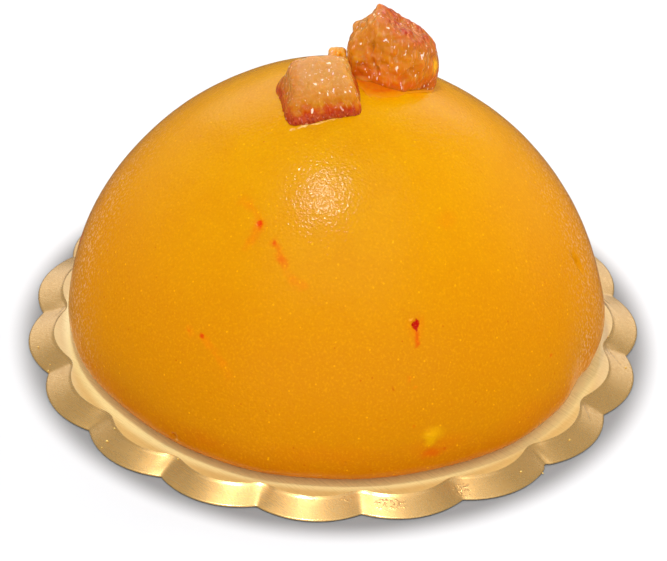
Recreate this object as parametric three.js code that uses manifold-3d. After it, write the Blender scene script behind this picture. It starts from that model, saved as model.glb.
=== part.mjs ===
// A single-portion dome cake under a smooth glaze, topped with pieces of cooked fruit,
// on the scalloped gold tray that it is stuck to and lifted by.
// Millimetres, +Z up. The origin is the middle of the tray, on the table; the front is -Y.

import * as THREE from "three";
import { mergeVertices } from "three/addons/utils/BufferGeometryUtils.js";
import Module from "manifold-3d";

// ---------------------------------------------------------------- driving dimensions

// Tray: one thin pressed sheet. A raised platform, a fluted skirt and a narrow lip.
const TRAY_SHEET = 0.45;
const TRAY_LOBES = 18;
const TRAY_FIRST_VALLEY_DEG = 176.4;
const TRAY_LIP_TIP_RADIUS = 45.9;
const TRAY_LIP_VALLEY_RADIUS = 44.0;
const TRAY_LIP_WIDTH = 1.3;
const TRAY_PLATFORM_TIP_RADIUS = 41.7;
const TRAY_PLATFORM_VALLEY_RADIUS = 40.0;
const TRAY_PLATFORM_TOP = 1.8;
const TRAY_LIP_VALLEY_ROUNDING = 0.0;
const TRAY_PLATFORM_VALLEY_ROUNDING = 0.2;
const TRAY_UNDERSIDE_LEAN = TRAY_SHEET / 2;
const TRAY_STEPS_PER_LOBE = 10;
const GOLD_FOIL = { colour: 0xe0be78, roughness: 0.32, metalness: 0.9 };

// Skirt section: share of the way from the platform's edge to the lip, and share of the drop.
const SKIRT_SECTION = [
  { way: 0.0, drop: 0.0 },
  { way: 0.1, drop: 0.04 },
  { way: 0.22, drop: 0.15 },
  { way: 0.84, drop: 0.92 },
  { way: 1.0, drop: 1.0 },
];

// Dome: the mousse as it left a half-sphere mould, with its lower edge drawn in.
const DOME_DIAMETER = 80;
const DOME_FOOT_DIAMETER = 75.8;
const DOME_WIDEST_HEIGHT = 3.6;
const DOME_CROWN_HEIGHT = 38.3;
const DOME_ROUNDNESS = 1.8;
const DOME_FOOT_ROUNDNESS = 2.2;
const DOME_SHIFT_Y = 0.3;
const DOME_SLICES = 90;
const DOME_CROWN_RINGS = 17;
const DOME_FOOT_RINGS = 3;

// Where the dome's lower edge swells out (+) or draws in (-): bearing, spread and amount.
const DOME_SWELLS = [
  { bearing: 172, spread: 7, amount: -0.4 },
  { bearing: 220, spread: 12, amount: -0.5 },
  { bearing: 255, spread: 9, amount: 0.35 },
  { bearing: 311, spread: 9, amount: 0.4 },
  { bearing: 338, spread: 6, amount: -0.7 },
  { bearing: 0, spread: 8, amount: 0.5 },
];
const SWELL_HEIGHT = 3;
const SWELL_REACH = 6;
const GLAZE = { colour: 0xee9a00, roughness: 0.38, metalness: 0 };

// Fruit: pieces cut by hand and cooked soft. A facet is the bearing and slope that its outside
// faces, and its distance from the piece's middle. The edges between facets are rounded.
const FRUIT_SLICES = 24;
const FRUIT_RINGS = 14;
const PALE_FLESH = { colour: 0xdf9650, roughness: 0.3, metalness: 0 };
const AMBER_FLESH = { colour: 0xdd8324, roughness: 0.3, metalness: 0 };
const YELLOW_FLESH = { colour: 0xe8a024, roughness: 0.3, metalness: 0 };

// Each piece is cut underneath to a plainer copy of the dome, grown by this clearance.
const SEAT_CLEARANCE = 0.3;
const SEAT_SLICES = 24;
const SEAT_CROWN_RINGS = 12;
const SEAT_FOOT_RINGS = 1;

const FRUIT_PIECES = [
  {
    name: "fruit_front",
    middle: [-2.6, -1.1, 44.5],
    roundness: 9,
    finish: PALE_FLESH,
    facets: [
      { bearing: -81, slope: 16, distance: 3.8 },
      { bearing: -85, slope: 64, distance: 3.6 },
      { bearing: 192, slope: 15, distance: 5.3 },
      { bearing: 7, slope: 18, distance: 4.4 },
      { bearing: 98, slope: 27, distance: 4.8 },
      { bearing: 0, slope: -90, distance: 6.0 },
    ],
  },
  {
    name: "fruit_back",
    middle: [6.8, 9.2, 46.4],
    roundness: 9,
    finish: AMBER_FLESH,
    facets: [
      { bearing: -104, slope: 20, distance: 4.5 },
      { bearing: -49, slope: 4, distance: 5.2 },
      { bearing: 0, slope: 54, distance: 4.0 },
      { bearing: 171, slope: 39, distance: 5.3 },
      { bearing: -2, slope: 5, distance: 6.6 },
      { bearing: 181, slope: -21, distance: 6.5 },
      { bearing: 85, slope: 8, distance: 3.5 },
      { bearing: 0, slope: -90, distance: 8.6 },
    ],
  },
  {
    name: "fruit_scrap",
    middle: [-0.8, 9.2, 44.0],
    roundness: 5,
    finish: YELLOW_FLESH,
    facets: [
      { bearing: -90, slope: 10, distance: 1.4 },
      { bearing: 0, slope: 0, distance: 1.0 },
      { bearing: 180, slope: 0, distance: 1.2 },
      { bearing: 90, slope: 10, distance: 1.5 },
      { bearing: 0, slope: 90, distance: 1.4 },
      { bearing: 0, slope: -90, distance: 2.6 },
    ],
  },
];

// ---------------------------------------------------------------- small helpers

const QUARTER_TURN = Math.PI / 2;
const FULL_TURN_DEG = 360;
const HALF_TURN_DEG = 180;

function lerp(a, b, share) {
  return a + (b - a) * share;
}

/** Signed smallest angle from one bearing to another, in degrees. */
function bearingGap(from, to) {
  return ((to - from + FULL_TURN_DEG + HALF_TURN_DEG) % FULL_TURN_DEG) - HALF_TURN_DEG;
}

/** Unit vector of a bearing (from +X towards +Y) and a slope above the horizontal, in degrees. */
function heading(bearing, slope) {
  const azimuth = THREE.MathUtils.degToRad(bearing);
  const rise = THREE.MathUtils.degToRad(slope);
  return new THREE.Vector3(
    Math.cos(rise) * Math.cos(azimuth),
    Math.cos(rise) * Math.sin(azimuth),
    Math.sin(rise),
  );
}

/** One closed body from a top point, rings that each run from +X towards +Y, and a bottom point. */
function ringSolid(topPoint, rings, bottomPoint) {
  const slices = rings[0].length;
  const points = [topPoint, ...rings.flat(), bottomPoint];
  const bottom = points.length - 1;
  const at = (ring, slice) => 1 + ring * slices + (slice % slices);
  const triangles = [];
  for (let slice = 0; slice < slices; slice += 1) {
    triangles.push(0, at(0, slice), at(0, slice + 1));
    for (let ring = 0; ring + 1 < rings.length; ring += 1) {
      triangles.push(at(ring, slice), at(ring + 1, slice), at(ring + 1, slice + 1));
      triangles.push(at(ring, slice), at(ring + 1, slice + 1), at(ring, slice + 1));
    }
    triangles.push(at(rings.length - 1, slice), bottom, at(rings.length - 1, slice + 1));
  }
  const geometry = new THREE.BufferGeometry();
  geometry.setFromPoints(points);
  geometry.setIndex(triangles);
  geometry.computeVertexNormals();
  return geometry;
}

function namedMesh(name, geometry, { colour, roughness, metalness }) {
  const material = new THREE.MeshStandardMaterial({ color: colour, roughness, metalness });
  const mesh = new THREE.Mesh(geometry, material);
  mesh.name = name;
  return mesh;
}

// ---------------------------------------------------------------- tray

/** How far a lobe stands out, 1 at its tip and 0 in the valley, which may be rounded. */
function lobeRise(fromTip, rounding) {
  const sharp = 1 - rounding;
  if (fromTip <= sharp) {
    return (1 - fromTip ** 2 - rounding) / sharp;
  }
  return (1 - fromTip) ** 2 / rounding;
}

/** Radius of a scalloped outline at one step round the tray. */
function scallop(step, valleyRadius, tipRadius, rounding) {
  const alongLobe = (step % TRAY_STEPS_PER_LOBE) / TRAY_STEPS_PER_LOBE;
  const fromTip = Math.abs(alongLobe * 2 - 1);
  return lerp(valleyRadius, tipRadius, lobeRise(fromTip, rounding));
}

function platformRadius(step) {
  return scallop(
    step,
    TRAY_PLATFORM_VALLEY_RADIUS,
    TRAY_PLATFORM_TIP_RADIUS,
    TRAY_PLATFORM_VALLEY_ROUNDING,
  );
}

function lipRadius(step) {
  return scallop(step, TRAY_LIP_VALLEY_RADIUS, TRAY_LIP_TIP_RADIUS, TRAY_LIP_VALLEY_ROUNDING);
}

/** A ring of the tray, from a radius for each step round it and one height. */
function trayRing(radiusAt, height) {
  const steps = TRAY_LOBES * TRAY_STEPS_PER_LOBE;
  const ring = [];
  for (let step = 0; step < steps; step += 1) {
    const bearing = TRAY_FIRST_VALLEY_DEG + (FULL_TURN_DEG * step) / steps;
    const point = heading(bearing, 0).multiplyScalar(radiusAt(step));
    ring.push(point.setZ(height));
  }
  return ring;
}

function buildTray() {
  const drop = TRAY_PLATFORM_TOP - TRAY_SHEET;
  const skirtRing = (station, inset, lowered) =>
    trayRing(
      (step) =>
        lerp(platformRadius(step), lipRadius(step) - TRAY_LIP_WIDTH, station.way) - inset,
      TRAY_PLATFORM_TOP - drop * station.drop - lowered,
    );
  const upper = SKIRT_SECTION.map((station) => skirtRing(station, 0, 0));
  // The underside leans in under the skirt, so that the sheet keeps its thickness there.
  const lower = SKIRT_SECTION.map((station) =>
    skirtRing(station, TRAY_UNDERSIDE_LEAN, TRAY_SHEET),
  );
  const lipEdge = [trayRing(lipRadius, TRAY_SHEET), trayRing(lipRadius, 0)];
  const rings = [...upper, ...lipEdge, ...lower.reverse()];
  const top = new THREE.Vector3(0, 0, TRAY_PLATFORM_TOP);
  const bottom = new THREE.Vector3(0, 0, TRAY_PLATFORM_TOP - TRAY_SHEET);
  return namedMesh("tray", ringSolid(top, rings, bottom), GOLD_FOIL);
}

// ---------------------------------------------------------------- dome

/** How far the dome's side swells at one bearing and one height above the platform. */
function domeSwell(bearing, height) {
  const fade = Math.exp(-(((height - SWELL_HEIGHT) / SWELL_REACH) ** 2));
  const swell = DOME_SWELLS.map(
    (place) => place.amount * Math.exp(-((bearingGap(place.bearing, bearing) / place.spread) ** 2)),
  );
  return fade * swell.reduce((sum, amount) => sum + amount, 0);
}

/** The dome's section from the crown down to the foot, as radius and height above the platform. */
function domeSection(crownRings, footRings) {
  const radius = DOME_DIAMETER / 2;
  const footInset = radius - DOME_FOOT_DIAMETER / 2;
  const section = [];
  for (let ring = 1; ring <= crownRings; ring += 1) {
    const rise = Math.cos((ring / crownRings) * QUARTER_TURN);
    const width = (1 - rise ** DOME_ROUNDNESS) ** (1 / DOME_ROUNDNESS);
    section.push({ radius: radius * width, height: DOME_WIDEST_HEIGHT + DOME_CROWN_HEIGHT * rise });
  }
  for (let ring = 1; ring <= footRings; ring += 1) {
    const down = ring / footRings;
    section.push({
      radius: radius - footInset * down ** DOME_FOOT_ROUNDNESS,
      height: DOME_WIDEST_HEIGHT * (1 - down),
    });
  }
  return section;
}

/** The dome's body, grown by a margin on its upper side. */
function domeGeometry(slices, crownRings, footRings, margin) {
  const rings = domeSection(crownRings, footRings).map(({ radius, height }) => {
    const ring = [];
    for (let slice = 0; slice < slices; slice += 1) {
      const bearing = (FULL_TURN_DEG * slice) / slices;
      const reach = radius + domeSwell(bearing, height) + margin;
      const point = heading(bearing, 0).multiplyScalar(reach);
      point.y += DOME_SHIFT_Y;
      ring.push(point.setZ(TRAY_PLATFORM_TOP + height + margin));
    }
    return ring;
  });
  const crown = TRAY_PLATFORM_TOP + DOME_WIDEST_HEIGHT + DOME_CROWN_HEIGHT + margin;
  const top = new THREE.Vector3(0, DOME_SHIFT_Y, crown);
  const bottom = new THREE.Vector3(0, DOME_SHIFT_Y, TRAY_PLATFORM_TOP + margin);
  return ringSolid(top, rings, bottom);
}

function buildDome() {
  const geometry = domeGeometry(DOME_SLICES, DOME_CROWN_RINGS, DOME_FOOT_RINGS, 0);
  return namedMesh("dome", geometry, GLAZE);
}

// ---------------------------------------------------------------- fruit

const wasm = await Module();
wasm.setup();

/** A solid for joining and cutting, from a closed geometry. */
function toSolid(geometry) {
  const bare = geometry.clone();
  bare.deleteAttribute("normal");
  bare.deleteAttribute("uv");
  const merged = mergeVertices(bare);
  return new wasm.Manifold(
    new wasm.Mesh({
      numProp: 3,
      vertProperties: new Float32Array(merged.attributes.position.array),
      triVerts: new Uint32Array(merged.index.array),
    }),
  );
}

function toGeometry(solid) {
  const mesh = solid.getMesh();
  const geometry = new THREE.BufferGeometry();
  geometry.setAttribute("position", new THREE.BufferAttribute(mesh.vertProperties, 3));
  geometry.setIndex(new THREE.BufferAttribute(mesh.triVerts, 1));
  geometry.computeVertexNormals();
  return geometry;
}

/** How far a rounded, many-faced piece reaches from its middle in one direction. */
function facetedReach(direction, facets, roundness) {
  const closeness = facets.map(
    ({ bearing, slope, distance }) => Math.max(0, direction.dot(heading(bearing, slope)) / distance),
  );
  return closeness.reduce((sum, value) => sum + value ** roundness, 0) ** (-1 / roundness);
}

function fruitGeometry({ middle, roundness, facets }) {
  const centre = new THREE.Vector3(...middle);
  const pointAt = (bearing, slope) => {
    const direction = heading(bearing, slope);
    const reach = facetedReach(direction, facets, roundness);
    return direction.multiplyScalar(reach).add(centre);
  };
  const rings = [];
  for (let ring = 1; ring < FRUIT_RINGS; ring += 1) {
    const slope = HALF_TURN_DEG * (0.5 - ring / FRUIT_RINGS);
    const around = Array.from({ length: FRUIT_SLICES }, (_, slice) =>
      pointAt((FULL_TURN_DEG * slice) / FRUIT_SLICES, slope),
    );
    rings.push(around);
  }
  return ringSolid(pointAt(0, 90), rings, pointAt(0, -90));
}

/** Each piece of fruit is cut underneath to the dome that it lies on. */
function buildFruit() {
  const seat = toSolid(
    domeGeometry(SEAT_SLICES, SEAT_CROWN_RINGS, SEAT_FOOT_RINGS, SEAT_CLEARANCE),
  );
  return FRUIT_PIECES.map((piece) => {
    const trimmed = toSolid(fruitGeometry(piece)).subtract(seat);
    return namedMesh(piece.name, toGeometry(trimmed), piece.finish);
  });
}

// ---------------------------------------------------------------- assembly

const group = new THREE.Group();
group.add(buildTray(), buildDome(), ...buildFruit());

export default group;
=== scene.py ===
"""Looks of a single-portion dome cake: a smooth yellow glaze, pieces of cooked fruit on top, and the
scalloped gold tray that the cake is stuck to.

Sizes in the classes are millimetres, and MM turns them into Blender's metres. The place is that of
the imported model: +Z up, the origin in the middle of the tray on the table, and the front at -Y.
"""

import logging
import math
from dataclasses import dataclass
from enum import Enum
from typing import Optional, Sequence, Union

import bpy
import numpy as np
from mathutils import Matrix, Vector, noise


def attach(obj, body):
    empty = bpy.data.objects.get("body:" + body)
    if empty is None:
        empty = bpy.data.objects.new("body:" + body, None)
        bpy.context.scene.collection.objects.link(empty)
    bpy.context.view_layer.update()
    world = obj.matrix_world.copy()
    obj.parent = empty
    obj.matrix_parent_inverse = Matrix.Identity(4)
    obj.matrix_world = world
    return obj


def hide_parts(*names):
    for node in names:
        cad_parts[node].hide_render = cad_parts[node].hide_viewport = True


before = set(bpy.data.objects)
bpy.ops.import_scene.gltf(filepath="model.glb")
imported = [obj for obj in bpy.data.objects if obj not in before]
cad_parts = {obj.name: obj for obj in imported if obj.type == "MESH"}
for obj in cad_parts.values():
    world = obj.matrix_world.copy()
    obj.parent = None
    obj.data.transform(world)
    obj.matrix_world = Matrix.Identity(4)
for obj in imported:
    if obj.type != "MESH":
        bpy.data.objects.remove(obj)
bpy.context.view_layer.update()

MM = 0.001
BODY = "root"
LOG = logging.getLogger("dome_cake")

Colour = tuple[float, float, float, float]
Point = tuple[float, float, float]
Socket = bpy.types.NodeSocket
Value = Union[float, Socket]

ORIGIN: Point = (0.0, 0.0, 0.0)


class Slot(Enum):
    """The record's material slots."""

    TRAY = "gold_tray"
    GLAZE = "glaze"
    FRUIT = "fruit"


def paint(hex_colour: int) -> Colour:
    """Turns a screen colour into a shader's linear one.

    Args:
        hex_colour: The colour as 0xRRGGBB.

    Returns:
        Red, green, blue and an alpha of 1.
    """
    shares = [((hex_colour >> shift) & 0xFF) / 0xFF for shift in (16, 8, 0)]
    knee, toe, gain, offset, power = 0.04045, 12.92, 1.055, 0.055, 2.4
    lit = [s / toe if s <= knee else ((s + offset) / gain) ** power for s in shares]
    return (lit[0], lit[1], lit[2], 1.0)


# ------------------------------------------------------------------------------------------ meshes


def clear_selection() -> None:
    """Leaves nothing selected, so that an operator acts on its own piece alone."""
    bpy.ops.object.select_all(action="DESELECT")


def new_piece(name: str) -> bpy.types.Object:
    """Names the primitive that has just been added, and puts its place into its mesh.

    Args:
        name: The piece's name.

    Returns:
        The object.
    """
    piece = bpy.context.active_object
    piece.name = name
    piece.data.name = name
    bpy.ops.object.transform_apply(location=True, rotation=True, scale=True)
    return piece


def read_points(piece: bpy.types.Object) -> np.ndarray:
    """Reads a piece's vertices.

    Args:
        piece: The object, in object mode.

    Returns:
        One row a vertex, in millimetres.
    """
    flat = np.empty(len(piece.data.vertices) * 3)
    piece.data.vertices.foreach_get("co", flat)
    return flat.reshape(-1, 3) / MM


def read_normals(piece: bpy.types.Object) -> np.ndarray:
    """Reads which way a piece's surface faces at each vertex.

    Args:
        piece: The object, in object mode.

    Returns:
        One unit vector a vertex.
    """
    flat = np.empty(len(piece.data.vertices) * 3)
    piece.data.vertices.foreach_get("normal", flat)
    return flat.reshape(-1, 3)


def write_points(piece: bpy.types.Object, points: np.ndarray) -> None:
    """Moves a piece's vertices.

    Args:
        piece: The object, in object mode.
        points: One row a vertex, in millimetres.
    """
    piece.data.vertices.foreach_set("co", (points * MM).ravel())
    piece.data.update()


def write_shares(piece: bpy.types.Object, name: str, shares: np.ndarray) -> None:
    """Keeps one number a vertex on a mesh, for its finish to read.

    Args:
        piece: The object.
        name: The attribute's name.
        shares: One number a vertex.
    """
    attribute = piece.data.attributes.new(name, "FLOAT", "POINT")
    attribute.data.foreach_set("value", shares.astype(np.float32))


def refine(piece: bpy.types.Object, wanted: np.ndarray, cuts: int) -> None:
    """Subdivides the faces whose every corner is wanted.

    Args:
        piece: The object, in object mode.
        wanted: True for each vertex of the place to refine.
        cuts: How many cuts each edge gets.
    """
    bpy.ops.object.mode_set(mode="EDIT")
    bpy.ops.mesh.select_all(action="DESELECT")
    bpy.ops.mesh.select_mode(type="VERT")
    bpy.ops.object.mode_set(mode="OBJECT")
    piece.data.vertices.foreach_set("select", wanted)
    bpy.ops.object.mode_set(mode="EDIT")
    bpy.ops.mesh.select_mode(type="FACE")
    bpy.ops.mesh.subdivide(number_cuts=cuts)
    bpy.ops.object.mode_set(mode="OBJECT")


def heading(bearing: float, slope: float) -> np.ndarray:
    """Works out a direction.

    Args:
        bearing: Degrees from +X towards +Y.
        slope: Degrees above the horizontal.

    Returns:
        The unit vector.
    """
    azimuth, rise = math.radians(bearing), math.radians(slope)
    flat = math.cos(rise)
    return np.array([flat * math.cos(azimuth), flat * math.sin(azimuth), math.sin(rise)])


def bearing_gap(bearings: np.ndarray, place: float) -> np.ndarray:
    """Measures the smallest turn from a place to each bearing.

    Args:
        bearings: Degrees.
        place: Degrees.

    Returns:
        Degrees, from -180 to 180.
    """
    return (bearings - place + 540.0) % 360.0 - 180.0


def fade(values: np.ndarray, none: float, full: float) -> np.ndarray:
    """Eases from 0 to 1.

    Args:
        values: Any numbers.
        none: Where the result is 0.
        full: Where the result is 1.

    Returns:
        Shares from 0 to 1.
    """
    share = np.clip((values - none) / (full - none), 0.0, 1.0)
    return share * share * (3.0 - 2.0 * share)


def lumps(points: np.ndarray, size: Union[float, Point], seed: float, octaves: int = 2) -> np.ndarray:
    """Draws smooth chance relief, the same on each run.

    Args:
        points: One row a vertex, in millimetres.
        size: A lump's size in millimetres, or one for each axis.
        seed: Moves to another part of the pattern.
        octaves: How many finer layers it has.

    Returns:
        Heights of about -1 to 1.
    """
    scaled = points / np.asarray(size, dtype=float) + np.array([seed, 1.7 * seed, -seed])
    return np.array([noise.fractal(Vector(row), 1.0, 2.1, octaves) for row in scaled])


# --------------------------------------------------------------------------------------- materials


class Sketch:
    """A material's node tree, with one method for each kind of node that the finishes use."""

    def __init__(self, name: str) -> None:
        """Starts a material.

        Args:
            name: The material's name.
        """
        self.material = bpy.data.materials.new(name)
        self.material.use_nodes = True
        self.nodes = self.material.node_tree.nodes
        self.links = self.material.node_tree.links
        self.shader = self.nodes["Principled BSDF"]
        self.place = self.nodes.new("ShaderNodeTexCoord").outputs["Object"]

    def feed(self, socket: Socket, value: Union[Value, Sequence[float]]) -> None:
        """Links a socket to another, or sets its number, vector or colour."""
        if isinstance(value, Socket):
            self.links.new(value, socket)
        else:
            socket.default_value = value

    def set_shader(self, **values: Union[Value, Sequence[float]]) -> None:
        """Feeds the shader's sockets, named with _ for a space."""
        for name, value in values.items():
            self.feed(self.shader.inputs[name.replace("_", " ")], value)

    def math(self, operation: str, first: Value, second: Value = 0.0, clamp: bool = False) -> Socket:
        """Adds a Math node.

        Args:
            operation: Its operation.
            first: Its first value.
            second: Its second value.
            clamp: Whether the result stays from 0 to 1.

        Returns:
            The result.
        """
        node = self.nodes.new("ShaderNodeMath")
        node.operation = operation
        node.use_clamp = clamp
        self.feed(node.inputs[0], first)
        self.feed(node.inputs[1], second)
        return node.outputs[0]

    def vector(self, operation: str, first: Socket, second: Union[Socket, Point]) -> bpy.types.Node:
        """Adds a Vector Math node.

        Args:
            operation: Its operation.
            first: Its first vector.
            second: Its second vector.

        Returns:
            The node, because its result is a vector or a number.
        """
        node = self.nodes.new("ShaderNodeVectorMath")
        node.operation = operation
        self.feed(node.inputs[0], first)
        self.feed(node.inputs[1], second)
        return node

    def length(self, vector: Socket) -> Socket:
        """Measures a vector."""
        return self.vector("LENGTH", vector, ORIGIN).outputs["Value"]

    def turned(self, degrees: Point, stretch: Point) -> Socket:
        """Turns and stretches the piece's own coordinates.

        Args:
            degrees: Turn about each axis.
            stretch: How many times longer the pattern becomes along each turned axis.

        Returns:
            The coordinates.
        """
        turn = self.nodes.new("ShaderNodeMapping")
        turn.inputs["Rotation"].default_value = [math.radians(angle) for angle in degrees]
        self.links.new(self.place, turn.inputs["Vector"])
        return self.vector("DIVIDE", turn.outputs["Vector"], stretch).outputs[0]

    def noise(
        self, size: float, detail: float = 2.0, harsh: float = 0.5, at: Optional[Socket] = None
    ) -> Socket:
        """Adds a Noise Texture.

        Args:
            size: A lump's size in millimetres.
            detail: How many finer layers it has.
            harsh: How strong the finer layers are.
            at: Coordinates other than the piece's own.

        Returns:
            A share of about 0.5.
        """
        node = self.nodes.new("ShaderNodeTexNoise")
        node.inputs["Scale"].default_value = 1.0 / (size * MM)
        node.inputs["Detail"].default_value = detail
        node.inputs["Roughness"].default_value = harsh
        self.feed(node.inputs["Vector"], at or self.place)
        return node.outputs["Fac"]

    def dots(self, size: float, radius: float, chosen: float) -> Socket:
        """Adds scattered dots, from a Voronoi Texture.

        Args:
            size: The distance between places for a dot in millimetres.
            radius: A dot's radius in millimetres.
            chosen: The share of the places that have a dot.

        Returns:
            1 in the middle of a dot and 0 outside.
        """
        node = self.nodes.new("ShaderNodeTexVoronoi")
        node.inputs["Scale"].default_value = 1.0 / (size * MM)
        self.links.new(self.place, node.inputs["Vector"])
        dot = self.span(node.outputs["Distance"], radius / size, 0.4 * radius / size)
        lot = self.nodes.new("ShaderNodeSeparateColor")
        self.links.new(node.outputs["Color"], lot.inputs[0])
        has_dot = self.math("LESS_THAN", lot.outputs[0], chosen)
        return self.math("MULTIPLY", dot, has_dot)

    def span(self, value: Value, none: float, full: float, low: float = 0.0, high: float = 1.0) -> Socket:
        """Adds a smooth Map Range node.

        Args:
            value: What is mapped.
            none: The value that gives low.
            full: The value that gives high.
            low: The result at none.
            high: The result at full.

        Returns:
            The result.
        """
        node = self.nodes.new("ShaderNodeMapRange")
        node.interpolation_type = "SMOOTHSTEP"
        for name, number in zip(("From Min", "From Max", "To Min", "To Max"), (none, full, low, high)):
            node.inputs[name].default_value = number
        self.feed(node.inputs["Value"], value)
        return node.outputs["Result"]

    def ramp(self, value: Socket, stops: Sequence[tuple[float, int]]) -> Socket:
        """Adds a Color Ramp.

        Args:
            value: Where on the ramp.
            stops: Each colour's place, from 0 to 1, and the colour as 0xRRGGBB.

        Returns:
            The colour.
        """
        node = self.nodes.new("ShaderNodeValToRGB")
        elements = node.color_ramp.elements
        while len(elements) < len(stops):
            elements.new(0.5)
        for element, (place, hex_colour) in zip(elements, stops):
            element.position = place
            element.color = paint(hex_colour)
        self.links.new(value, node.inputs["Fac"])
        return node.outputs["Color"]

    def blend(self, share: Value, first: Union[Socket, Colour], second: Union[Socket, Colour]) -> Socket:
        """Mixes two colours.

        Args:
            share: How much of the second.
            first: The first colour.
            second: The second colour.

        Returns:
            The mixed colour.
        """
        node = self.nodes.new("ShaderNodeMix")
        node.data_type = "RGBA"
        self.feed(node.inputs[0], share)
        self.feed(node.inputs[6], first)
        self.feed(node.inputs[7], second)
        return node.outputs[2]

    def bump(self, height: Socket, depth: float, below: Optional[Socket] = None) -> Socket:
        """Adds a Bump node.

        Args:
            height: Relief, from 0 to 1.
            depth: What a height of 1 stands for, in millimetres.
            below: The normal of a coarser relief.

        Returns:
            The normal.
        """
        node = self.nodes.new("ShaderNodeBump")
        node.inputs["Distance"].default_value = depth * MM
        self.links.new(height, node.inputs["Height"])
        if below is not None:
            self.links.new(below, node.inputs["Normal"])
        return node.outputs["Normal"]

    def away(self, place: Socket, middle: Point, reach: Point, diamond: bool = False) -> Socket:
        """Measures how far a point is from a place.

        Args:
            place: The point's coordinates.
            middle: The place, in millimetres.
            reach: The distance that counts as 1 along each axis, in millimetres.
            diamond: Whether the three distances are added up instead of squared.

        Returns:
            0 at the place and 1 at its reach.
        """
        off = self.vector("SUBTRACT", place, tuple(value * MM for value in middle)).outputs[0]
        scaled = self.vector("DIVIDE", off, tuple(value * MM for value in reach)).outputs[0]
        if diamond:
            plain = self.vector("ABSOLUTE", scaled, ORIGIN).outputs[0]
            return self.vector("DOT_PRODUCT", plain, (1.0, 1.0, 1.0)).outputs["Value"]
        return self.length(scaled)

    def own(self, name: str) -> Socket:
        """Reads a number that the mesh keeps for each vertex."""
        node = self.nodes.new("ShaderNodeAttribute")
        node.attribute_name = name
        return node.outputs["Fac"]

    def height(self) -> Socket:
        """Reads how high above the table a point is, in metres."""
        node = self.nodes.new("ShaderNodeSeparateXYZ")
        self.links.new(self.place, node.inputs[0])
        return node.outputs["Z"]


@dataclass(frozen=True)
class Mark:
    """A stain in the glaze: its middle, its half sizes, its colour, how strong it is, the share of its
    half size over which it fades, and whether its outline is a diamond instead of an oval."""

    at: Point
    reach: Point
    colour: int
    strength: float
    fade: float = 0.9
    diamond: bool = False

    def share(self, sketch: Sketch, place: Socket) -> Socket:
        """Works out how much of the stain shows at a point.

        Args:
            sketch: The material.
            place: Slightly shaken coordinates, which make the edge ragged.

        Returns:
            A share from 0 to the stain's strength.
        """
        away = sketch.away(place, self.at, self.reach, self.diamond)
        return sketch.span(away, 1.0, 1.0 - self.fade, 0.0, self.strength)


@dataclass(frozen=True)
class Trail:
    """A smear of colour in the glaze, from one point to another: its half width, colour and strength."""

    start: Point
    end: Point
    width: float
    colour: int
    strength: float

    def share(self, sketch: Sketch, place: Socket) -> Socket:
        """Works out how much of the smear shows at a point.

        Args:
            sketch: The material.
            place: Slightly shaken coordinates, which make the edge ragged.

        Returns:
            A share from 0 to the smear's strength.
        """
        start = Vector(self.start) * MM
        run = Vector(self.end) * MM - start
        away = sketch.vector("SUBTRACT", place, tuple(start)).outputs[0]
        along = sketch.vector("DOT_PRODUCT", away, tuple(run)).outputs["Value"]
        share = sketch.math("DIVIDE", along, run.length_squared, clamp=True)
        line = sketch.nodes.new("ShaderNodeVectorMath")
        line.operation = "SCALE"
        line.inputs[0].default_value = run
        sketch.links.new(share, line.inputs["Scale"])
        off = sketch.vector("SUBTRACT", away, line.outputs[0]).outputs[0]
        return sketch.span(sketch.length(off), self.width * MM, 0.0, 0.0, self.strength)


RED_DROP = 0xB00000
RED_STAIN = 0xD43C00
ORANGE_STAIN = 0xDA6C00
SOFT_STAIN = 0xDA7C00
PALE_STAIN = 0xDEA200
BROWN_SPECK = 0xB84800

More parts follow.
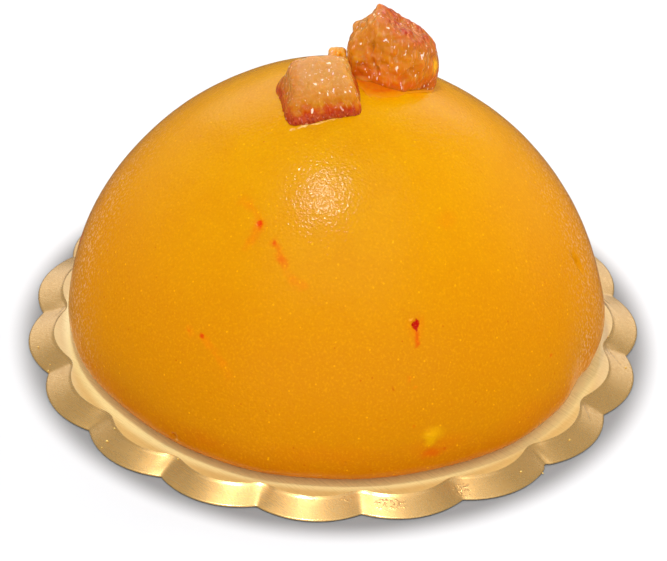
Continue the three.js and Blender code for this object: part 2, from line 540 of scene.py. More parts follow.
GLAZE_MARKS = (
    # The deep drop on the right, its halo, its tail, and a painted highlight on its upper edge.
    Mark((11.7, -30.7, 24.4), (1.7, 3.2, 2.6), ORANGE_STAIN, 0.55, 1.0),
    Trail((11.8, -31.3, 23.9), (12.0, -32.0, 22.4), 0.75, RED_STAIN, 0.75),
    # Painted highlight: a pale glint on the drop's upper left edge.
    Mark((10.9, -30.2, 25.6), (0.32, 0.8, 0.32), 0xFFB040, 0.7),
    Mark((11.65, -30.5, 24.8), (0.85, 3.0, 1.35), RED_DROP, 1.0, 0.35, True),
    # The drop at the upper left, with a trail up and a trail down.
    Trail((-11.6, -19.3, 35.2), (-12.9, -17.6, 35.7), 1.1, SOFT_STAIN, 0.5),
    Trail((-12.9, -17.6, 35.7), (-14.0, -16.6, 35.8), 1.2, SOFT_STAIN, 0.4),
    Trail((-11.6, -21.2, 33.9), (-12.4, -22.2, 32.8), 1.1, ORANGE_STAIN, 0.5),
    Trail((-12.4, -22.2, 32.8), (-13.0, -23.0, 31.9), 1.0, SOFT_STAIN, 0.4),
    Mark((-11.3, -20.6, 34.4), (1.4, 2.0, 1.5), ORANGE_STAIN, 0.7, 1.0),
    Mark((-11.3, -20.6, 34.4), (0.6, 1.0, 0.7), 0xD83000, 0.95, 0.7),
    # The second drop beside it and its long trail.
    Mark((-9.0, -23.3, 33.2), (1.1, 1.6, 1.1), ORANGE_STAIN, 0.6, 1.0),
    Trail((-8.6, -23.8, 32.9), (-7.9, -25.4, 31.7), 1.1, ORANGE_STAIN, 0.65),
    Trail((-7.9, -25.4, 31.7), (-7.5, -26.1, 31.2), 0.9, RED_STAIN, 0.35),
    Trail((-7.5, -26.1, 31.2), (-6.6, -27.4, 30.1), 0.9, SOFT_STAIN, 0.4),
    Trail((-6.2, -27.8, 29.9), (-5.1, -28.6, 29.3), 1.2, SOFT_STAIN, 0.6),
    Mark((-4.5, -28.3, 29.7), (1.0, 1.6, 0.9), SOFT_STAIN, 0.55, 1.0),
    Mark((-9.0, -23.3, 33.2), (0.45, 0.8, 0.5), RED_STAIN, 0.7, 0.8),
    # The drop at the lower left, a smudge beside it and its trail.
    Mark((-20.7, -28.6, 20.5), (1.1, 1.6, 1.3), SOFT_STAIN, 0.6, 1.0),
    Mark((-20.9, -28.5, 20.8), (0.4, 0.8, 0.4), RED_STAIN, 0.35),
    Trail((-19.1, -29.7, 20.6), (-18.1, -30.7, 20.0), 1.0, SOFT_STAIN, 0.7),
    Trail((-18.1, -30.7, 20.0), (-17.2, -31.6, 19.4), 0.8, SOFT_STAIN, 0.35),
    Trail((-16.9, -31.9, 19.2), (-16.0, -32.8, 18.3), 0.9, SOFT_STAIN, 0.55),
    Trail((-15.8, -33.0, 18.1), (-15.0, -33.8, 17.2), 1.2, SOFT_STAIN, 0.35),
    Mark((-19.2, -29.5, 20.8), (0.55, 1.0, 0.65), 0xD03800, 0.9, 0.8),
    # Small specks and faint spots.
    Mark((11.0, -34.8, 18.2), (0.75, 1.2, 0.65), 0xD87400, 0.65),
    Mark((9.1, -35.8, 17.1), (0.38, 0.8, 0.38), BROWN_SPECK, 0.85),
    Mark((12.0, -35.1, 17.0), (0.35, 0.8, 0.35), 0xD87800, 0.6),
    Mark((11.9, -37.0, 11.5), (0.4, 0.8, 0.4), 0xD06800, 0.6),
    Mark((15.7, -17.8, 34.3), (2.2, 3.0, 1.8), ORANGE_STAIN, 0.2),
    Mark((16.6, -36.0, 6.8), (0.45, 0.8, 0.42), 0xB84000, 0.85),
    Mark((15.7, -36.5, 6.3), (0.35, 0.8, 0.35), 0xC45000, 0.6),
    Mark((31.8, -21.5, 13.6), (0.5, 0.7, 0.45), 0xD05800, 0.7),
    Mark((27.2, -29.1, 3.4), (0.4, 0.8, 0.35), 0xB05000, 0.6),
    # Darker patches round the foot, and the pale bump above it.
    Mark((0.0, -39.4, 7.6), (13.0, 4.0, 2.6), 0xD07000, 0.35, 1.0),
    Mark((-17.0, -34.8, 6.2), (7.0, 5.0, 2.0), 0xC86800, 0.45, 1.0),
    Mark((28.0, -27.0, 7.5), (7.0, 7.0, 3.2), 0xD07400, 0.4, 1.0),
    Mark((34.5, -16.0, 5.5), (3.0, 5.0, 1.8), 0xC86400, 0.4, 1.0),
    Mark((16.0, -36.6, 7.6), (8.0, 5.0, 2.4), 0xD87000, 0.4, 1.0),
    Mark((14.8, -36.9, 6.5), (2.6, 3.0, 1.3), 0xD05800, 0.8, 1.0),
    Mark((14.8, -36.4, 9.7), (2.2, 3.0, 1.6), PALE_STAIN, 0.75, 0.8),
    Mark((14.4, -36.6, 8.6), (1.2, 3.0, 1.4), PALE_STAIN, 0.7, 0.8),
    # Painted shadow: brown in the chips of the foot on the right, where the glaze's edge stands clear of
    # the tray, and a thin brown shade line along the foot on the left.
    Mark((38.4, -7.2, 3.0), (1.6, 1.9, 1.5), 0x9A4A00, 0.75, 0.6),
    Mark((36.8, -12.7, 2.9), (1.6, 1.5, 1.4), 0x9A4A00, 0.75, 0.6),
    Mark((-27.6, -27.8, 2.6), (2.0, 2.0, 0.9), 0x8A3C00, 0.7),
    # A dark red-brown speck in a small hollow at the foot on the left, with a pale lower edge.
    Mark((-23.1, -32.2, 4.6), (0.4, 0.7, 0.4), 0x8C2000, 0.9),
    Mark((-22.5, -32.6, 4.0), (0.4, 0.7, 0.35), 0xF0B868, 0.7),
    # A painted highlight along the foot of the front piece of fruit, where the glaze's meniscus catches
    # the light, and the syrup that soaked in behind it.
    # Painted highlight: a pale line on the glaze along the front piece's foot.
    Trail((-7.2, -6.9, 41.8), (-5.2, -6.6, 42.3), 0.34, 0xFFD08C, 0.9),
    Trail((-5.2, -6.6, 42.3), (-2.9, -6.0, 42.8), 0.3, 0xFFD08C, 0.85),
    Trail((-2.9, -6.0, 42.8), (-0.1, -5.3, 43.1), 0.26, 0xFFC878, 0.7),
    Mark((5.0, 2.4, 43.0), (5.2, 3.4, 2.0), 0xE87000, 0.6, 1.0),
    Mark((10.2, 5.4, 41.6), (4.0, 3.2, 2.0), 0xE87800, 0.5, 1.0),
    # A red tint on the left shoulder.
    Mark((-38.4, 2.9, 14.3), (0.8, 1.6, 1.6), RED_STAIN, 0.8),
)


@dataclass(frozen=True)
class GlazeFinish:
    """The glaze: saturated yellow-orange, fine-grained and softly glossy. Its height ramp makes it redder
    and darker towards the foot: partly the glaze's own tone, and partly painted shade for the dimmer,
    redder light low on the dome. Pale specks on its flanks and its back are painted sheen, for the light
    that the fine grain catches at grazing angles.

    The painted sheen lies where the dome turns away from sheen_faces, which is the direction of the
    photographed side: its fixed place on the flanks and the back is a guess.
    """

    crown: int = 0xD39400
    shoulder: int = 0xD28E00
    middle: int = 0xCC8100
    low: int = 0xC97D00
    foot: int = 0xC06400
    pale: int = 0xF8B400
    # Painted sheen: the pale colour of the specks that stand in for grazing light on the grain.
    painted_sheen: int = 0xF8D4A0
    crown_height: float = 43.7
    mottle_size: float = 6.0
    grain_size: float = 0.36
    relief_size: float = 0.42
    relief_depth: float = 0.075
    ripple_size: float = 1.6
    ripple_depth: float = 0.05
    roughness: float = 0.13
    # Where the painted sheen lies, how it fades, and how fine and thick its specks are.
    sheen_faces: Point = (0.0, -0.807, 0.59)
    sheen_middle: Point = (0.0, 0.3, 5.4)
    sheen_none: float = 21.0
    sheen_full: float = 7.0
    sheen_top: float = 40.0
    sheen_shoulder: float = 20.0
    sheen_on_top: float = 0.08
    sheen_patch: float = 5.0
    sheen_size: float = 0.4
    sheen_share: float = 0.55
    dent_at: Point = (35.7, -6.0, 19.4)
    dent_reach: Point = (1.9, 1.3, 2.9)

    def material(self) -> bpy.types.Material:
        """Builds the material.

        Returns:
            The material.
        """
        sketch = Sketch("glaze")
        # Painted shade in part: the ramp darkens and reddens the glaze towards the foot beyond its own
        # tone, for the dimmer, redder light low on the dome.
        share = sketch.math("DIVIDE", sketch.height(), self.crown_height * MM)
        stops = (
            (0.03, self.foot),
            (0.2, self.low),
            (0.5, self.middle),
            (0.8, self.shoulder),
            (1.0, self.crown),
        )
        colour = sketch.ramp(share, stops)
        mottle = sketch.span(sketch.noise(self.mottle_size, 3.0), 0.35, 0.75, 0.0, 0.3)
        colour = sketch.blend(mottle, colour, paint(self.low))
        colour = self.stained(sketch, colour)
        grain = sketch.noise(self.grain_size, 1.0, 0.5)
        colour = sketch.blend(sketch.span(grain, 0.5, 0.8, 0.0, 0.2), colour, paint(self.pale))
        colour = sketch.blend(sketch.span(grain, 0.5, 0.2, 0.0, 0.2), colour, paint(self.foot))
        pale_dots = sketch.math("MULTIPLY", sketch.dots(1.3, 0.2, 0.3), 0.6)
        colour = sketch.blend(pale_dots, colour, paint(self.pale))
        dark_dots = sketch.math("MULTIPLY", sketch.dots(1.9, 0.2, 0.25), 0.5)
        colour = sketch.blend(dark_dots, colour, paint(BROWN_SPECK))
        # Painted sheen: pale specks on the flanks and the back, for light that the fine grain catches at
        # grazing angles.
        colour = sketch.blend(self.sheen_places(sketch), colour, paint(self.painted_sheen))
        ripple = sketch.bump(sketch.noise(self.ripple_size, 2.0), self.ripple_depth)
        relief = sketch.noise(self.relief_size, 1.0, 0.5)
        sketch.set_shader(
            Base_Color=colour,
            Roughness=self.roughness,
            Specular_IOR_Level=0.115,
            Subsurface_Weight=0.1,
            Subsurface_Radius=(1.0, 0.4, 0.02),
            Subsurface_Scale=1.2 * MM,
            Normal=sketch.bump(relief, self.relief_depth, ripple),
        )
        return sketch.material

    def sheen_places(self, sketch: Sketch) -> Socket:
        """Works out where the painted sheen lies: pale specks in patches round the flanks and the back,
        where the dome turns away from sheen_faces.

        Args:
            sketch: The material.

        Returns:
            The share of painted sheen.
        """
        centre = tuple(value * MM for value in self.sheen_middle)
        middle = sketch.vector("SUBTRACT", sketch.place, centre).outputs[0]
        facing = sketch.vector("DOT_PRODUCT", middle, self.sheen_faces).outputs["Value"]
        zone = sketch.span(facing, self.sheen_none * MM, self.sheen_full * MM)
        high, low = self.sheen_top * MM, self.sheen_shoulder * MM
        fewer_on_top = sketch.span(sketch.height(), high, low, self.sheen_on_top, 1.0)
        patches = sketch.span(sketch.noise(self.sheen_patch, 3.0, 0.6), 0.4, 0.6, 0.55, 1.0)
        grain = sketch.noise(self.sheen_size, 2.0, 0.6, sketch.turned(ORIGIN, (1.0, 1.0, 1.4)))
        specks = sketch.span(grain, 0.48, 0.74, 0.0, self.sheen_share)
        dent = sketch.away(sketch.place, self.dent_at, self.dent_reach)
        outside_dent = sketch.span(dent, 0.7, 1.1)
        share = sketch.math("MULTIPLY", zone, fewer_on_top)
        for part in (patches, specks, outside_dent):
            share = sketch.math("MULTIPLY", share, part)
        return share

    def stained(self, sketch: Sketch, colour: Socket) -> Socket:
        """Paints the marks over the glaze.

        Args:
            sketch: The material.
            colour: The clean glaze's colour.

        Returns:
            The stained colour.
        """
        place = sketch.place
        for size, reach in ((2.2, 1.5), (0.7, 0.7)):
            shake = sketch.vector("SUBTRACT", self.chance(sketch, size), (0.5, 0.5, 0.5)).outputs[0]
            small = sketch.vector("MULTIPLY", shake, (reach * MM,) * 3).outputs[0]
            place = sketch.vector("ADD", place, small).outputs[0]
        for mark in GLAZE_MARKS:
            colour = sketch.blend(mark.share(sketch, place), colour, paint(mark.colour))
        return colour

    def chance(self, sketch: Sketch, size: float) -> Socket:
        """Gives a chance vector for each place, from the colour of a noise of some size in mm."""
        node = sketch.nodes.new("ShaderNodeTexNoise")
        node.inputs["Scale"].default_value = 1.0 / (size * MM)
        sketch.links.new(sketch.place, node.inputs["Vector"])
        return node.outputs["Color"]


@dataclass(frozen=True)
class FoilFinish:
    """Gold foil on thin card, finely brushed along one direction of the whole tray. The platform is satin,
    with painted light near the cake that lightens the shade under the dome's overhang, and the press has
    polished the skirt and the lip."""

    satin: int = 0xDCBC78
    satin_deep: int = 0xD0AC64
    # Painted light: the paler colour near the cake, and the radii over which it fades in, lighten the
    # shade under the dome's overhang.
    painted_light: int = 0xF6E6A2
    polished: int = 0xD8AE68
    polished_deep: int = 0xCE9E50
    roughness: float = 0.26
    brush_turn: float = 45.0
    brush_width: float = 0.14
    brush_length: float = 30.0
    brush_depth: float = 0.004
    painted_light_from: float = 41.2
    painted_light_to: float = 39.6
    scuff_size: float = 0.45
    scuff_depth: float = 0.05
    crease_width: float = 0.28
    crease_depth: float = 0.06
    scuffs: tuple[tuple[Point, Point], ...] = (
        ((9.0, -42.2, 1.0), (2.9, 1.3, 3.0)),
        ((2.7, -41.6, 1.2), (1.0, 0.7, 3.0)),
        ((-2.5, -42.3, 1.0), (0.9, 0.7, 3.0)),
        ((19.4, -38.0, 1.0), (2.2, 1.4, 3.0)),
    )
    creases: tuple[tuple[Point, Point], ...] = (
        ((-40.8, 2.7, 1.4), (-43.1, -1.1, 0.8)),
        ((-41.2, 1.9, 1.3), (-42.7, 0.0, 0.9)),
        ((40.4, -1.5, 1.5), (43.0, -5.9, 0.8)),
        ((40.9, -2.5, 1.4), (42.3, -7.2, 0.9)),
        ((40.3, 11.1, 1.4), (42.7, 7.3, 0.8)),
        ((40.9, 9.0, 1.4), (42.8, 5.0, 0.8)),
        ((-39.0, 14.2, 1.4), (-41.6, 10.6, 0.8)),
        ((-37.6, -16.6, 1.4), (-38.6, -19.9, 0.8)),
        ((37.4, -16.9, 1.4), (38.4, -20.3, 0.8)),
    )

    def material(self) -> bpy.types.Material:
        """Builds the material.

        Returns:
            The material.
        """
        sketch = Sketch("gold_foil")
        along = sketch.turned((0.0, 0.0, self.brush_turn), (self.brush_length, 1.0, 1.0))
        strokes = sketch.noise(self.brush_width, 3.0, 0.6, along)
        patches = sketch.noise(3.0, 3.0)
        stroke = sketch.span(strokes, 0.3, 0.7)
        satin = sketch.blend(stroke, paint(self.satin), paint(self.satin_deep))
        flat = sketch.vector("MULTIPLY", sketch.place, (1.0, 1.0, 0.0)).outputs[0]
        radius = sketch.length(flat)
        # Painted light: the platform turns paler towards the cake, to lighten the shade that the dome's
        # overhang casts there.
        painted_light = sketch.span(radius, self.painted_light_from * MM, self.painted_light_to * MM)
        satin = sketch.blend(painted_light, satin, paint(self.painted_light))
        polished = sketch.blend(stroke, paint(self.polished), paint(self.polished_deep))
        scuffed = self.scuffed(sketch)
        polished = sketch.blend(sketch.math("MULTIPLY", scuffed, 0.5), polished, paint(self.polished_deep))
        polish = sketch.own("polish")
        rough = sketch.math(
            "ADD",
            sketch.span(strokes, 0.3, 0.7, self.roughness - 0.04, self.roughness + 0.06),
            sketch.span(patches, 0.4, 0.7, 0.0, 0.05),
        )
        creased: Value = 0.0
        for start, end in self.creases:
            crease = Trail(start, end, self.crease_width, 0, 1.0).share(sketch, sketch.place)
            creased = sketch.math("MAXIMUM", crease, creased)
        dents = sketch.bump(creased, -self.crease_depth, sketch.bump(scuffed, self.scuff_depth))
        sketch.set_shader(
            Base_Color=sketch.blend(polish, satin, polished),
            Metallic=sketch.span(polish, 0.0, 1.0, 0.08, 0.72),
            Roughness=rough,
            Coat_Weight=0.55,
            Coat_Roughness=0.22,
            Coat_IOR=1.8,
            Normal=sketch.bump(strokes, self.brush_depth, dents),
        )
        return sketch.material

    def scuffed(self, sketch: Sketch) -> Socket:
        """Works out where the skirt is scuffed into small dents.

        Args:
            sketch: The material.

        Returns:
            A share that changes from dent to dent.
        """
        zone: Value = 0.0
        for middle, reach in self.scuffs:
            near = sketch.span(sketch.away(sketch.place, middle, reach), 1.0, 0.3)
            zone = sketch.math("MAXIMUM", near, zone)
        dents = sketch.span(sketch.noise(self.scuff_size, 1.0), 0.52, 0.66)
        return sketch.math("MULTIPLY", zone, dents)


class Flesh(Enum):
    """How a piece of fruit is cooked: its colours from the dome upwards, and how far light goes, in mm.

    Each colour stands at a share of LAYER_REACH above the dome.
    """

    PEACH = (
        (
            (0.0, 0xA82000),
            (0.05, 0xB43200),
            (0.11, 0xC04C00),
            (0.22, 0xC67C0C),
            (0.36, 0xCC8C38),
            (0.8, 0xC8905A),
        ),
        1.2,
    )
    AMBER = (
        ((0.0, 0xD06000), (0.12, 0xCE6200), (0.28, 0xCC7408), (0.5, 0xC87810), (0.85, 0xCA7C24)),
        1.6,
    )
    YELLOW = (
        ((0.0, 0xD87400), (0.1, 0xE08C00), (0.25, 0xE6A028), (0.5, 0xDC9650)),
        0.9,
    )


LAYER_REACH = 12.0


@dataclass(frozen=True)
class FruitFinish:
    """Cooked fruit: fibrous flesh that light soaks into, with a browned skin, pale threads and small
    painted glints, wet all over."""

    flesh: Flesh
    crust: int = 0xB84A18
    dark_crust: int = 0x9A2604
    pink_crust: int = 0xDA8458
    golden: int = 0xD88C08
    fibre_turn: Point = (0.0, 0.0, 0.0)
    fibre_size: float = 0.35
    glint: int = 0xFFF0DC
    pale: int = 0xEABA80
    glint_share: float = 0.8
    wetness: float = 0.13
    marks: tuple[Union[Mark, Trail], ...] = ()

    def material(self) -> bpy.types.Material:
        """Builds the material.

        Returns:
            The material.
        """
        layers, depth = self.flesh.value
        sketch = Sketch("fruit_" + self.flesh.name.lower())
        patches = sketch.noise(1.6, 3.0, 0.55)
        fibres = sketch.noise(self.fibre_size, 3.0, 0.6, sketch.turned(self.fibre_turn, (1.0, 1.0, 5.0)))
        shake = sketch.span(patches, 0.3, 0.7, -0.05, 0.05)
        colour = sketch.ramp(sketch.math("ADD", sketch.own("above"), shake), layers)
        colour = sketch.blend(sketch.span(patches, 0.5, 0.72, 0.0, 0.45), colour, paint(self.golden))
        colour = sketch.blend(sketch.span(fibres, 0.56, 0.74, 0.0, 0.2), colour, paint(self.crust))
        threads = sketch.span(fibres, 0.46, 0.3, 0.0, 0.3)
        colour = sketch.blend(threads, colour, paint(self.pale))
        light = sketch.span(sketch.noise(0.5, 2.0), 0.58, 0.7)
        crust = sketch.blend(sketch.span(fibres, 0.35, 0.6), paint(self.dark_crust), paint(self.crust))
        crust = sketch.blend(light, crust, paint(self.pink_crust))
        colour = sketch.blend(sketch.own("crust"), colour, crust)
        for mark in self.marks:
            colour = sketch.blend(mark.share(sketch, sketch.place), colour, paint(mark.colour))
        # Painted highlights: pale glint specks in the base colour, fewer on the crust.
        glints = sketch.noise(0.42, 1.0, 0.5, sketch.turned(self.fibre_turn, (1.0, 1.0, 2.2)))
        glint_places = sketch.math(
            "MULTIPLY",
            sketch.span(sketch.noise(1.9, 1.0), 0.44, 0.58),
            sketch.span(sketch.own("crust"), 0.0, 1.0, 1.0, 0.3),
        )
        glint = sketch.math("MULTIPLY", sketch.span(glints, 0.64, 0.72, 0.0, self.glint_share), glint_places)
        colour = sketch.blend(glint, colour, paint(self.glint))
        rough = sketch.bump(sketch.noise(1.1, 2.0, 0.5), 0.12)
        rough = sketch.bump(fibres, 0.08, rough)
        wet = sketch.bump(sketch.noise(0.8, 1.0, 0.5), 0.9, rough)
        sketch.set_shader(
            Base_Color=colour,
            Roughness=0.4,
            Subsurface_Weight=0.85,
            Subsurface_Radius=(1.0, 0.45, 0.12),
            Subsurface_Scale=depth * MM,
            Specular_IOR_Level=0.1,
            Coat_Weight=0.9,
            Coat_Roughness=self.wetness,
            Coat_IOR=1.5,
            Normal=rough,
            Coat_Normal=wet,
        )
        return sketch.material


# -------------------------------------------------------------------------------------------- tray


@dataclass
class Tray:
    """The gold tray: one thin pressed sheet with a raised platform and a fluted skirt that eases into
    the lip, whose edge is rounded over."""

    name: str = "tray_foil"
    node: str = "tray"
    sheet: float = 0.28
    lobes: int = 18
    steps_per_lobe: int = 36
    first_valley: float = 176.4
    platform_top: float = 1.8
    platform_tip: float = 42.0
    platform_valley: float = 40.3
    platform_rounding: float = 0.2
    lip_tip: float = 45.9
    lip_valley: float = 44.0
    edge_round: float = 0.1
    fold_radius: float = 0.3
    toe_radius: float = 3.0
    skirt_slope: float = 29.0
    lip_slope: float = 17.0
    rim_steps: tuple[float, ...] = (0.3, 0.6, 0.85, 0.93, 0.97, 1.0)
    ring_growth: float = 1.02
    platform_inset: float = 6.0
    crumple_depth: float = 0.06
    crumple_spread: float = 3.0
    slow_wave: float = 0.03
    nick_bearing: float = 316.0
    nick_depth: float = 0.4
    nick_fall: float = 0.4
    sharp_angle: float = 32.0

    def lobe_rise(self, steps: np.ndarray, rounding: float) -> np.ndarray:
        """Works out how far a lobe stands out.

        Args:
            steps: Steps round the tray from the first valley.
            rounding: Share of half a lobe over which the valley is rounded.

        Returns:
            1 at a lobe's tip and 0 in the valley.
        """
        from_tip = np.abs((steps % self.steps_per_lobe) / self.steps_per_lobe * 2.0 - 1.0)
        sharp = 1.0 - rounding
        crest = (1.0 - from_tip**2 - rounding) / sharp
        valley = (1.0 - from_tip) ** 2 / max(rounding, 1e-9)
        return np.where(from_tip <= sharp, crest, valley)

    def section(self) -> tuple[np.ndarray, np.ndarray]:
        """Draws the skirt from the platform's edge to the rim: a rounded fold, a hollow slope that eases
        into the lip, and a rounded edge.

        Returns:
            Each station's share of the way out, and how far it lies below the platform in mm.
        """
        steep, flat = math.radians(self.skirt_slope), math.radians(self.lip_slope)
        fold = np.linspace(0.0, steep, 7)
        ease = np.linspace(steep, flat, 10)[1:]
        out = self.fold_radius * np.sin(fold)
        down = self.fold_radius * (1.0 - np.cos(fold))
        out = np.append(out, out[-1] + self.toe_radius * (math.sin(steep) - np.sin(ease)))
        down = np.append(down, down[-1] + self.toe_radius * (np.cos(ease) - math.cos(steep)))
        rest = (self.platform_top - self.sheet - down[-1]) / math.tan(flat)
        steps = np.array(self.rim_steps)
        over = np.clip(1.0 - (1.0 - steps) * rest / self.edge_round, 0.0, 1.0)
        round_off = self.edge_round * (1.0 - np.sqrt(1.0 - 0.96 * over**2))
        down = np.append(down, down[-1] + steps * rest * math.tan(flat) + round_off)
        out = np.append(out, out[-1] + steps * rest)
        return out / out[-1], down

    def height_at(self, across: float, along: float) -> float:
        """Works out how high the tray's upper face is over a point of the table.

        Args:
            across: X in millimetres.
            along: Y in millimetres.

        Returns:
            Z in millimetres.
        """
        turn = math.degrees(math.atan2(along, across)) - self.first_valley
        step = np.array([(turn % 360.0) / 360.0 * self.lobes * self.steps_per_lobe])
        platform = self.platform_valley
        platform += (self.platform_tip - platform) * self.lobe_rise(step, self.platform_rounding)[0]
        edge = self.lip_valley + (self.lip_tip - self.lip_valley) * self.lobe_rise(step, 0.0)[0]
        way, down = self.section()
        share = (math.hypot(across, along) - platform) / (edge - platform)
        return self.platform_top - float(np.interp(share, way, down))

    def build(self) -> bpy.types.Object:
        """Draws the sheet ring by ring from the platform outwards, and gives it its thickness.

        Returns:
            The finished tray.
        """
        way, down = self.section()
        rings = len(way)
        count = self.lobes * self.steps_per_lobe
        clear_selection()
        bpy.ops.mesh.primitive_circle_add(
            vertices=count,
            radius=self.platform_valley * MM,
            fill_type="NGON",
            location=(0.0, 0.0, self.platform_top * MM),
        )
        tray = new_piece(self.name)
        bpy.ops.object.mode_set(mode="EDIT")
        bpy.ops.mesh.select_all(action="SELECT")
        bpy.ops.mesh.inset(thickness=self.platform_inset * MM)
        bpy.ops.mesh.select_all(action="DESELECT")
        bpy.ops.mesh.select_mode(type="EDGE")
        bpy.ops.mesh.select_non_manifold()
        for _ in range(rings - 1):
            bpy.ops.mesh.extrude_edges_move()
            bpy.ops.transform.resize(value=(self.ring_growth, self.ring_growth, 1.0))
        bpy.ops.object.mode_set(mode="OBJECT")
        self.press(tray, way, down, count)
        self.thicken(tray)
        return tray

    def press(self, tray: bpy.types.Object, way: np.ndarray, down: np.ndarray, count: int) -> None:
        """Presses the flat rings into the skirt's flutes and the lip.

        Args:
            tray: The flat rings.
            way: Each station's share of the way out.
            down: How far each station lies below the platform, in millimetres.
            count: How many steps a ring has.
        """
        points = read_points(tray)
        radius = np.hypot(points[:, 0], points[:, 1])
        bearing = np.degrees(np.arctan2(points[:, 1], points[:, 0]))
        ring = np.round(np.log(radius / self.platform_valley) / math.log(self.ring_growth)).astype(int)
        step = np.round(bearing / 360.0 * count) % count
        turn = np.radians(self.first_valley + 360.0 * step / count)
        rise = self.lobe_rise(step, self.platform_rounding)
        platform = self.platform_valley + (self.platform_tip - self.platform_valley) * rise
        edge = self.lip_valley + (self.lip_tip - self.lip_valley) * self.lobe_rise(step, 0.0)
        from_nick = bearing_gap(np.degrees(turn), self.nick_bearing)
        edge -= self.nick_depth * np.exp(-(from_nick**2) / self.nick_fall)
        station = np.clip(ring, 0, len(way) - 1)
        inside = ring < 0
        reach = np.where(inside, radius, platform + (edge - platform) * way[station])
        height = np.where(inside, self.platform_top, self.platform_top - down[station])
        placed = np.stack([reach * np.cos(turn), reach * np.sin(turn), height], axis=1)
        write_points(tray, self.crumpled(placed, np.degrees(turn), ring, len(way)))
        write_shares(tray, "polish", fade(ring.astype(float), 1.0, 5.0))

    def crumpled(
        self, points: np.ndarray, bearing: np.ndarray, ring: np.ndarray, skirt_rings: int
    ) -> np.ndarray:
        """Crumples the sheet a little beside the valleys, where the press gathers it.

        Args:
            points: The sheet's vertices.
            bearing: Each vertex's bearing in degrees.
            ring: Each vertex's ring, from the platform's edge outwards.
            skirt_rings: How many rings the skirt and the lip have.

        Returns:
            The moved vertices.
        """
        lobe = 360.0 / self.lobes
        off = (bearing - self.first_valley + lobe / 2.0) % lobe - lobe / 2.0
        near = np.exp(-((off / self.crumple_spread) ** 2))
        on_skirt = fade(ring.astype(float), 4.0, 9.0)
        on_skirt *= fade(ring.astype(float), skirt_rings - 2.0, skirt_rings - 9.0)
        wave = lumps(points, (1.3, 1.3, 1.3), 4.0, 2)
        slow = lumps(points, (7.0, 7.0, 7.0), 9.0, 1)
        points[:, 2] += on_skirt * (self.crumple_depth * near * wave + self.slow_wave * slow)
        return points

    def thicken(self, tray: bpy.types.Object) -> None:
        """Gives the sheet its thickness, keeps it on or above the table, and shades it smooth except at
        sharp edges.

        Args:
            tray: The pressed sheet.
        """
        solid = tray.modifiers.new("sheet", "SOLIDIFY")
        solid.thickness = self.sheet * MM
        solid.offset = -1.0
        bpy.ops.object.modifier_apply(modifier=solid.name)
        points = read_points(tray)
        points[:, 2] = np.maximum(points[:, 2], 0.0)
        write_points(tray, points)
        bpy.ops.object.shade_smooth_by_angle(angle=math.radians(self.sharp_angle))


# -------------------------------------------------------------------------------------------- dome


@dataclass(frozen=True)
class Swell:
    """A place where the dome's lower edge swells out (+) or draws in (-), in degrees and mm."""

    bearing: float
    spread: float
    amount: float


@dataclass(frozen=True)
class Chip:
    """A place at the foot where the glaze's edge stands clear of the tray, in degrees and mm."""

    bearing: float
    spread: float
    depth: float
    height: float


RELIEF_FALL = 1.6


@dataclass(frozen=True)
class Relief:
    """A small hollow (-) or bump (+) in a surface: its middle, its half sizes and its height."""

    at: Point
    reach: Point
    height: float

    def raised(self, points: np.ndarray) -> np.ndarray:
        """Works out how far it lifts a surface.

        Args:
            points: One row a vertex, in millimetres.

        Returns:
            Millimetres, outwards.
        """
        away = np.linalg.norm((points - np.array(self.at)) / np.array(self.reach), axis=1)
        return self.height * np.exp(-(away**2) * RELIEF_FALL)


